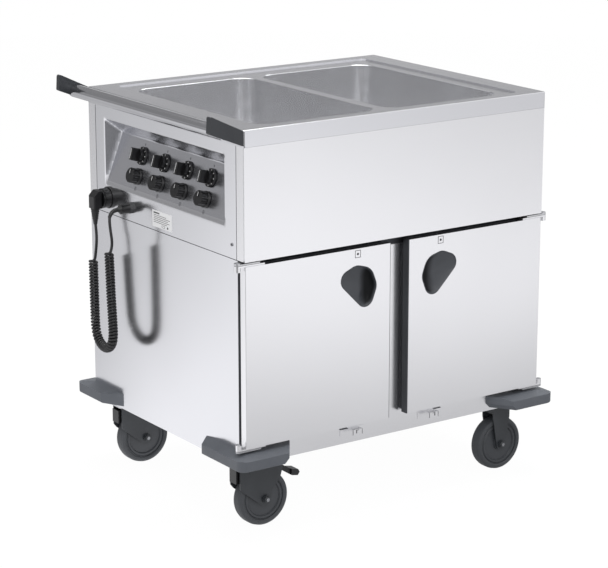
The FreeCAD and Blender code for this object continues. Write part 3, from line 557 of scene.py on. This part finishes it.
knobLook = {"slope": math.atan2(0.036, 0.120), "first": 0.164, "pitch": 0.094, "thermostat": 0.7595,
            "switch": 0.7145, "recessLow": 0.677, "count": 4, "ticks": 8, "tickFrom": -160, "tickStep": 40,
            "tickIn": 0.0155, "tickOut": 0.0188, "tickHalf": 0.0008, "skirtTop": 0.0060,
            "thermostatTop": 0.0330, "switchTop": 0.0241, "signLow": 0.0275, "signRing": 0.0038,
            "signHalf": 0.0007}
outward = Vector((-math.cos(knobLook["slope"]), 0, math.sin(knobLook["slope"])))
upSlope = Vector((math.sin(knobLook["slope"]), 0, math.cos(knobLook["slope"])))


def knobSeat(row, column):
    z = knobLook[row]
    depth = (z - knobLook["recessLow"]) * math.tan(knobLook["slope"])
    return at(depth, knobLook["first"] + knobLook["pitch"] * column, z)


def knobPrint(name, outlines, seat, material, body):
    finishPiece(thinPrint(name, outlines, seat, toFront, upSlope, outward, materials[material]), body)


def knobMarks():
    # a short bar over each thermostat, a ring of dots with a bar under each switch
    half = knobLook["signHalf"]
    ring = []
    for k in range(8):
        a = math.pi * 2 * k / 8
        x, y = knobLook["signRing"] * math.cos(a), knobLook["signRing"] * math.sin(a) - knobLook["signLow"]
        ring.append(bar(x - half, y - half, x + half, y + half))
    signs = {"thermostat": [bar(-0.0009, 0.0235, 0.0009, 0.0285)],
             "switch": ring + [bar(-0.0006, -0.0295, 0.0006, -0.0255)]}
    for row, sign in signs.items():
        for column in range(knobLook["count"]):
            knobPrint("panelMark.%s.%d" % (row, column + 1), sign, knobSeat(row, column), "greyPrint",
                      "cabinet")


def knobPrints():
    # white ticks on the skirts, a white line on each pointer
    ticks = []
    near, far, half = knobLook["tickIn"], knobLook["tickOut"], knobLook["tickHalf"]
    for k in range(knobLook["ticks"]):
        a = math.radians(knobLook["tickFrom"] + knobLook["tickStep"] * k)
        c, s = math.cos(a), math.sin(a)
        ticks.append([(r * c - w * s, r * s + w * c)
                      for r, w in ((near, -half), (near, half), (far, half), (far, -half))])
    for column in range(knobLook["count"]):
        number = column + 1
        seat = knobSeat("thermostat", column)
        body = "thermostat_knob_%d" % number
        knobPrint("skirtTicks.%d" % number, ticks, seat + outward * knobLook["skirtTop"], "whitePrint", body)
        knobPrint("pointerLine.%d" % number, [bar(-0.0006, -0.0115, 0.0006, 0.0115)],
                  seat + outward * knobLook["thermostatTop"], "whitePrint", body)
        knobPrint("switchLine.%d" % number, [bar(-0.0006, 0.004, 0.0006, 0.013)],
                  knobSeat("switch", column) + outward * knobLook["switchTop"], "whitePrint",
                  "switch_knob_%d" % number)


screwLook = {"socket": 0.0017, "depth": 0.00028, "floor": 0.0009, "rise": 0.00005, "head": 0.0016,
             "sideAcross": (0.048, 0.590), "sideHeight": 0.6415, "rearAcross": (0.040, 0.402, 0.764),
             "rearHeights": (0.215, 0.420, 0.640, 0.820)}


def screwSockets():
    # dark hexagon sockets in the panel screws, black as painted shade in the hollow
    places = []
    head, z = screwLook["head"], screwLook["sideHeight"]
    for y in screwLook["sideAcross"]:
        places.append((at(-head, y, z), toLeft))
        places.append((Vector((cabinetRight + head, doorFront + y, z)), toRight))
    for x in screwLook["rearAcross"]:
        for z in screwLook["rearHeights"]:
            places.append((Vector((cabinetLeft + x, cabinetRear + head, z)), toRear))
    profile = [(screwLook["socket"], 0), (screwLook["socket"], screwLook["depth"]),
               (screwLook["floor"], screwLook["depth"]), (0, screwLook["rise"])]
    for i, (place, axis) in enumerate(places):
        finishPiece(turned("screwSocket.%02d" % (i + 1), profile, place, axis, materials["blackPlastic"], 6),
                    "cabinet")


strainerLook = {"radius": 0.022, "height": 0.005, "holes": 10, "left": 0.220, "right": 0.556,
                "across": 0.496, "floor": 0.690, "slotIn": (0.34, 0.0011), "slotOut": (0.60, 0.0013)}


def strainers():
    # a low domed strainer with a ring of slots over each outlet; the slots are black prints, painted shade in
    # the openings
    r, h = strainerLook["radius"], strainerLook["height"]
    (near, thin), (far, wide) = strainerLook["slotIn"], strainerLook["slotOut"]
    profile = [(r, 0.0001), (r, 0.0012), (r * 0.93, 0.0022), (r * 0.62, h * 0.86), (r * 0.3, h),
               (0, h * 1.02)]
    slots = []
    for k in range(strainerLook["holes"]):
        a = 2 * math.pi * k / strainerLook["holes"]
        slots.append([(math.cos(a) * d - math.sin(a) * w, math.sin(a) * d + math.cos(a) * w)
                      for d, w in ((r * near, -thin), (r * far, -wide), (r * far, wide), (r * near, thin))])
    for side in ("left", "right"):
        centre = at(strainerLook[side], strainerLook["across"], strainerLook["floor"])
        dome = turned("strainer." + side, profile, centre, upward, materials["tubeSteel"], 40, 60)
        finishPiece(dome, "cabinet")
        finishPiece(thinPrint("strainerSlots." + side, slots, centre + upward * (h * 0.93), toRight, toRear,
                              upward, materials["blackPlastic"]), "cabinet")


axleLook = {"nut": 0.0078, "thick": 0.0045, "stud": 0.0040, "sunk": 0.0004, "swivelFace": 0.0254,
            "fixedFace": 0.0244, "studProud": 0.0018}


def axleNuts():
    nut, stud, thick, proud = (axleLook[key] for key in ("nut", "stud", "thick", "studProud"))
    nutProfile = [(nut, 0), (nut, thick * 0.8), (nut * 0.86, thick), (0, thick)]
    studProfile = [(stud, thick * 0.5), (stud, thick + 0.0012), (stud * 0.8, thick + proud),
                   (0, thick + proud)]
    for wheel, body, face in (("wheel_left_front", "swivel_fork_front", "swivelFace"),
                              ("wheel_left_rear", "swivel_fork_rear", "swivelFace"),
                              ("wheel_right_front", "cabinet", "fixedFace"),
                              ("wheel_right_rear", "cabinet", "fixedFace")):
        low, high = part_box(wheel)
        for way in (-1, 1):
            place = (low + high) / 2 + Vector((0, way * (axleLook[face] - axleLook["sunk"]), 0))
            label = "%s.%s" % (wheel, "near" if way < 0 else "far")
            for name, profile, finish, sides in (("axleNut.", nutProfile, "forkPlastic", 6),
                                                 ("axleStud.", studProfile, "screwSteel", 20)):
                fitting = turned(name + label, profile, place, (0, way, 0), materials[finish], sides)
                finishPiece(fitting, body)


# the outline wraps these circles: where each one's middle is across the door and up, and its radius
# the shade values paint shade into the pocket: darker and less shiny towards the pulling side and with depth
cupLook = {"depth": 0.0150, "rim": 0.0007, "steps": 18, "around": 96, "centre": (0.296, 0.520),
           "low": (0.313, 0.512), "mouth": 0.975, "soft": 1.9, "steep": 3.6, "steepFrom": 0.286,
           "steepOver": 0.050, "shadeFrom": 0.298, "shadeOver": 0.022, "shadeDepth": 0.006,
           "speck": 900, "detail": 4.0, "noise": 0.65, "rough": (0.36, 0.46), "shine": (0.12, 0.5),
           "bump": 0.08,
           "shade": (0.006, 0.0065, 0.0075), "face": (0.048, 0.052, 0.060),
           "circles": [(0.268, 0.534, 0.0223), (0.2875, 0.5337, 0.030), (0.300, 0.526, 0.034),
                       (0.309, 0.5135, 0.030), (0.3093, 0.492, 0.022)]}


def cupOutline(count):
    # each way out from the centre, the nearest of the straight lines that just touch the circles
    cx, cz = cupLook["centre"]
    found = []
    for k in range(count):
        a = 2 * math.pi * k / count
        reaches = []
        for turn in range(-60, 61):
            b = a + math.radians(turn)
            reach = max((x - cx) * math.cos(b) + (z - cz) * math.sin(b) + r for x, z, r in cupLook["circles"])
            reaches.append(reach / math.cos(b - a))
        best = min(reaches)
        found.append((cx + best * math.cos(a), cz + best * math.sin(a)))
    return found


def cupFinish():
    # the moulded grip plastic, with painted shade deep in the pocket: darker and less shiny there
    m = Nodes("cupPaintedShadePlastic")
    pocket = m.add("ShaderNodeVertexColor", layer_name="pocket")
    speck = m.noise((cupLook["speck"],) * 3, cupLook["detail"], cupLook["noise"])
    m.join(m.blend(pocket, cupLook["shade"], cupLook["face"]), 2, m.shader, "Base Color")
    m.join(m.spread(pocket, *cupLook["shine"], 0.0, 1.0), 0, m.shader, "Specular IOR Level")
    m.join(m.spread(speck, *cupLook["rough"]), 0, m.shader, "Roughness")
    m.bump(speck, cupLook["bump"], 0.0003)
    return m.material


def gripCups():
    # a dished cup: a long easy slope from the hinge side, a steep wall at the pulling side
    outline, centre = cupOutline(cupLook["around"]), cupLook["centre"]
    n, steps, low, lip = len(outline), cupLook["steps"], cupLook["low"], cupLook["rim"]

    def scaled(share):
        return [(centre[0] + (x - centre[0]) * share, centre[1] + (z - centre[1]) * share)
                for x, z in outline]

    points = []
    for share, y in ((1.006, 0.0168), (1.006, 0.0002), (1.024, 0.0002), (1.020, -lip * 0.7), (1.004, -lip),
                     (0.986, -lip * 0.6), (cupLook["mouth"], 0.0003)):
        points += [(x, y, z) for x, z in scaled(share)]
    rings = len(points) // n + steps
    for step in range(1, steps + 1):
        t = step / steps
        for x, z in scaled(cupLook["mouth"]):
            pull = smooth((x - cupLook["steepFrom"]) / cupLook["steepOver"])
            power = cupLook["soft"] + cupLook["steep"] * pull
            depth = cupLook["depth"] * (1 - (1 - t) ** power)
            points.append((x + (low[0] - x) * t, depth, z + (low[1] - z) * t))
    faces = []
    for i in range(rings - 1):
        for k in range(n):
            m = (k + 1) % n
            faces.append((i * n + k, i * n + m, (i + 1) * n + m, (i + 1) * n + k))
    finish = cupFinish()
    for side in ("left", "right"):
        verts = [at(x if side == "left" else cabinetWide - x, y, z) for x, y, z in points]
        cup = meshObject("gripCup." + side, verts, faces, finish)
        # painted shade: the pocket colour falls towards the pulling side and with depth
        shade = cup.data.color_attributes.new("pocket", "FLOAT_COLOR", "POINT")
        for i, (x, y, z) in enumerate(points):
            value = 1 - (smooth((x - cupLook["shadeFrom"]) / cupLook["shadeOver"])
                         * smooth(y / cupLook["shadeDepth"]))
            shade.data[i].color = (value, value, value, 1)
        merge = bmesh.new()
        merge.from_mesh(cup.data)
        bmesh.ops.remove_doubles(merge, verts=merge.verts, dist=1e-6)
        bmesh.ops.recalc_face_normals(merge, faces=merge.faces)
        merge.to_mesh(cup.data)
        merge.free()
        finishPiece(cup, "door_" + side, ("door_%s_grip" % side,))


plugLook = {"ribs": 5, "first": 0.626, "pitch": 0.0052, "place": (-0.038, 0.556), "top": 0.630, "long": 0.038,
            "wide": 0.0100, "narrow": 0.0044, "sunk": 0.0004, "proud": 0.0007}


def plugRibs():
    # shallow rings round the plug's neck
    x, y = plugLook["place"]
    taper = (plugLook["wide"] - plugLook["narrow"]) / plugLook["long"]
    for i in range(plugLook["ribs"]):
        z = plugLook["first"] - plugLook["pitch"] * i
        neck = plugLook["wide"] - (plugLook["top"] - z) * taper
        inner, outer = neck - plugLook["sunk"], neck + plugLook["proud"]
        profile = [(inner, 0.0013), (outer, 0.0008), (outer, -0.0008), (inner, -0.0013)]
        rib = turned("plugRib.%d" % (i + 1), profile, at(x, y, z), upward, materials["leadRubber"], 28, 80)
        finishPiece(rib, "cabinet")


pressLook = {"grid": 0.0031, "soft": 0.0038, "lipSoft": 0.0016, "sheet": 0.0012, "low": 0.677, "top": 0.828,
             "near": 0.075, "far": 0.571, "slope": 0.3, "ceiling": 36 / 31, "ends": 36 / 17, "inside": 0.0032,
             "endTurn": 0.6}


def softLow(a, b, k):
    # the lower of two slopes, with the crease between them rounded
    h = max(0.0, min(1.0, 0.5 + 0.5 * (b - a) / k))
    return b + (a - b) * h - k * h * (1 - h)


def recessDepth(y, z):
    k = pressLook["soft"]
    slope = (z - pressLook["low"]) * pressLook["slope"]
    ceiling = (pressLook["top"] - z) * pressLook["ceiling"]
    ends = min(y - pressLook["near"], pressLook["far"] - y) * pressLook["ends"]
    depth = softLow(softLow(slope, ceiling, k), ends, k)
    lip = pressLook["lipSoft"]
    return 0.0 if depth < -lip else (depth + lip) ** 2 / (4 * lip) if depth < lip else depth


def pressedPanel():
    # the control panel drawn as one pressed sheet: flat round the recess, every crease rounded
    low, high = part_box("control_panel")
    y0, y1 = low.y - doorFront, high.y - doorFront
    z0, z1 = low.z, high.z
    columns = round((y1 - y0) / pressLook["grid"])
    rows = round((z1 - z0) / pressLook["grid"])
    verts, faces = [], []
    for layer in (0, pressLook["sheet"]):
        for j in range(rows + 1):
            for i in range(columns + 1):
                y, z = y0 + (y1 - y0) * i / columns, z0 + (z1 - z0) * j / rows
                verts.append(at(recessDepth(y, z) + layer, y, z))
    wide = columns + 1
    back = wide * (rows + 1)
    for j in range(rows):
        for i in range(columns):
            k = j * wide + i
            faces.append((k, k + 1, k + wide + 1, k + wide))
            faces.append((back + k, back + k + wide, back + k + wide + 1, back + k + 1))
    edge = list(range(wide)) + [j * wide + columns for j in range(1, rows + 1)]
    edge += [rows * wide + i for i in range(columns - 1, -1, -1)] + [j * wide for j in range(rows - 1, 0, -1)]
    for k, a in enumerate(edge):
        b = edge[(k + 1) % len(edge)]
        faces.append((a, b, back + b, back + a))
    panel = meshObject("pressedPanel", verts, faces, materials["sideSteel"])
    for finish in ("recessShadeSteel", "recessEndShadeSteel"):
        panel.data.materials.append(materials[finish])
    # painted shade: faces inside the recess take the darker recess steel, the end faces a darker copy still
    for face in panel.data.polygons:
        if face.center.x > cabinetLeft + pressLook["inside"]:
            face.material_index = 2 if abs(face.normal.y) > pressLook["endTurn"] else 1
    finishPiece(panel, "cabinet", ("control_panel",), 50)


# each seam is a bar: across and up for one corner, then for the other
seamBars = {"left": [(0.0005, 0.6105, cabinetDeep - 0.0005, 0.6119), (0.0297, 0.6125, 0.0309, 0.853),
                     (0.6111, 0.6125, 0.6123, 0.853)],
            "front": [(0.001, 0.8534, 0.803, 0.8544)]}
seamBars["right"] = seamBars["left"]


def seamLines():
    # thin dark joints round the housing's panels
    for name, x, across, out in (("left", 0.0, toRear, toLeft), ("right", cabinetWide, toRear, toRight),
                                 ("front", 0.0, toRight, toFront)):
        outlines = [bar(*corners) for corners in seamBars[name]]
        finishPiece(thinPrint("seams." + name, outlines, at(x, 0, 0), across, upward, out,
                              materials["seamAndShadeSteel"]), "cabinet")


# slots: dark lines of painted shade in each catch's slot and folds; shade: a painted shadow bar beside the
# tongue
catchLook = {"depth": 0.006, "slots": [(0.2835, 0.1800, 0.2845, 0.1915), (0.3080, 0.1800, 0.3090, 0.1915),
                                       (0.2925, 0.1830, 0.2945, 0.1905), (0.2925, 0.1895, 0.3000, 0.1905)],
             "shadeDepth": 0.0255, "shade": [(0.262, 0.1905, 0.283, 0.1925)]}


def catchShadeLines():
    # dark lines at each door catch's slot and folds, painted shade, and a bar of painted shadow beside each
    # catch's tongue
    for side in ("left", "right"):
        for name, bars, depth in (("catchShadeLines.", catchLook["slots"], catchLook["depth"]),
                                  ("catchShade.", catchLook["shade"], catchLook["shadeDepth"])):
            outlines = []
            for x0, z0, x1, z1 in bars:
                if side == "right":
                    x0, x1 = cabinetWide - x1, cabinetWide - x0
                outlines.append(bar(x0, z0, x1, z1))
            finishPiece(thinPrint(name + side, outlines, at(0, depth, 0), toRight, upward, toFront,
                                  materials["seamAndShadeSteel"]), "cabinet")


pressedPanel()
seamLines()
catchShadeLines()
doorTags()
ratingLabel()
knobMarks()
knobPrints()
screwSockets()
strainers()
axleNuts()
gripCups()
plugRibs()
print("fitted pieces made")

# the studio: a white floor, and unseen glowing cards that the steel reflects
studio = {"world": 1.03, "floorGlow": 0.97, "reach": 7.0, "wallHeight": 6.0, "floorSize": 40,
          "cardLow": -0.004, "rings": 44, "sides": 96, "levels": 24, "spacing": 1.4,
          "lights": [("keyLight", (-2.5, -4.0, 4.5), (0, 0, 0.4), 3.0, 60),
                     ("topLight", (0.3, 0.3, 4.0), (0, 0, 0.5), 3.0, 130)]}
# pairs are where a change in brightness starts, and the distance it takes
floorLook = {"front": 0.62, "lift": 0.52, "liftMiddle": 1.1, "liftWidth": 1.9, "liftStart": (0.4, 1.6),
             "dim": 0.65, "dimLeft": (0.2, 0.8), "dimFront": (1.2, 0.8), "left": 0.60,
             "leftStart": (-1.75, 1.1), "right": 0.45, "behind": (-0.7, 0.8)}
wallLook = {"bright": 0.92, "corner": 0.58, "cornerAngle": 128, "cornerWidth": 42, "cornerTop": (1.2, 1.5),
            "dark": 0.30, "backAngle": 85, "backStart": (-75, 25), "darkStart": (1.2, 1.2)}


def change(v, where):
    return smooth((v - where[0]) / where[1])


def hill(x, middle, width):
    return math.exp(-((x - middle) / width) ** 2)


def floorBright(x, y):
    look = floorLook
    lift = look["lift"] * hill(x, look["liftMiddle"], look["liftWidth"])
    front = look["front"] + lift * change(-y, look["liftStart"])
    front *= 1 - look["dim"] * change(-x, look["dimLeft"]) * change(-y, look["dimFront"])
    left = look["left"] + look["lift"] * change(-y / max(-x, 0.05), look["leftStart"])
    if x > 0:
        left = look["right"]
    share = change(y, look["behind"])
    return front * (1 - share) + left * share


def wallBright(angle, height):
    # angle is measured from +X towards +Y, in degrees
    look = wallLook
    corner = look["corner"] * hill(angle, look["cornerAngle"], look["cornerWidth"])
    low = look["bright"] - corner * (1 - change(height, look["cornerTop"]))
    back = change(-abs(angle - look["backAngle"]), look["backStart"])
    return low + back * (look["dark"] - low) * change(height, look["darkStart"])


def glowCard(name, verts, faces, glow):
    card = Nodes(name)
    paint = card.add("ShaderNodeVertexColor", layer_name="glow")
    light = card.add("ShaderNodeEmission")
    card.join(paint, "Color", light, "Color")
    card.join(light, "Emission", card.output, "Surface")
    obj = meshObject(name, verts, faces, card.material, False)
    shade = obj.data.color_attributes.new("glow", "FLOAT_COLOR", "POINT")
    for i, value in enumerate(glow):
        shade.data[i].color = (value, value, value * 1.02, 1)
    obj.visible_camera = False
    obj.visible_shadow = False
    return obj


def makeCards():
    reach, rings, sides, low = studio["reach"], studio["rings"], studio["sides"], studio["cardLow"]
    turns = [2 * math.pi * k / sides for k in range(sides)]
    verts, faces, glow = [(0, 0, low)], [], [floorBright(0, 0)]
    for i in range(1, rings + 1):
        radius = reach * (i / rings) ** studio["spacing"]
        for a in turns:
            x, y = radius * math.cos(a), radius * math.sin(a)
            verts.append((x, y, low))
            glow.append(floorBright(x, y))
    for k in range(sides):
        faces.append((0, 1 + k, 1 + (k + 1) % sides))
    for i in range(rings - 1):
        near, far = 1 + i * sides, 1 + (i + 1) * sides
        for k in range(sides):
            n = (k + 1) % sides
            faces.append((near + k, far + k, far + n, near + n))
    glowCard("floorCard", verts, faces, glow)
    verts, faces, glow = [], [], []
    for j in range(studio["levels"] + 1):
        height = studio["wallHeight"] * j / studio["levels"]
        for a in turns:
            verts.append((reach * math.cos(a), reach * math.sin(a), height + low))
            turn = math.degrees(a)
            glow.append(wallBright(turn - 360 if turn > 270 else turn, height))
    for j in range(studio["levels"]):
        for k in range(sides):
            n = (k + 1) % sides
            faces.append((j * sides + k, j * sides + n, (j + 1) * sides + n, (j + 1) * sides + k))
    glowCard("wallCard", verts, faces, glow)


def makeStudio():
    world = bpy.data.worlds.new("studio")
    scene.world = world
    world.use_nodes = True
    background = world.node_tree.nodes["Background"]
    background.inputs["Color"].default_value = (1, 1, 1, 1)
    background.inputs["Strength"].default_value = studio["world"]
    paint = Nodes("floorPaint")
    paint.shader.inputs["Base Color"].default_value = (1 - studio["floorGlow"],) * 3 + (1,)
    paint.shader.inputs["Roughness"].default_value = 1.0
    paint.shader.inputs["Specular IOR Level"].default_value = 0.0
    paint.shader.inputs["Emission Color"].default_value = (1, 1, 1, 1)
    paint.shader.inputs["Emission Strength"].default_value = studio["floorGlow"]
    size = studio["floorSize"]
    floor = meshObject("floor", [(-size, -size, 0), (size, -size, 0), (size, size, 0), (-size, size, 0)],
                       [(0, 1, 2, 3)], paint.material, False)
    floor.visible_glossy = False
    floor.visible_diffuse = False
    makeCards()
    for name, place, aim, size, power in studio["lights"]:
        lamp = bpy.data.lights.new(name, "AREA")
        lamp.shape = "DISK"
        lamp.size = size
        lamp.energy = power
        obj = link(bpy.data.objects.new(name, lamp))
        obj.location = place
        obj.rotation_euler = (Vector(aim) - Vector(place)).to_track_quat("-Z", "Y").to_euler()
    scene.view_settings.view_transform = "Standard"


makeStudio()
print("studio made")
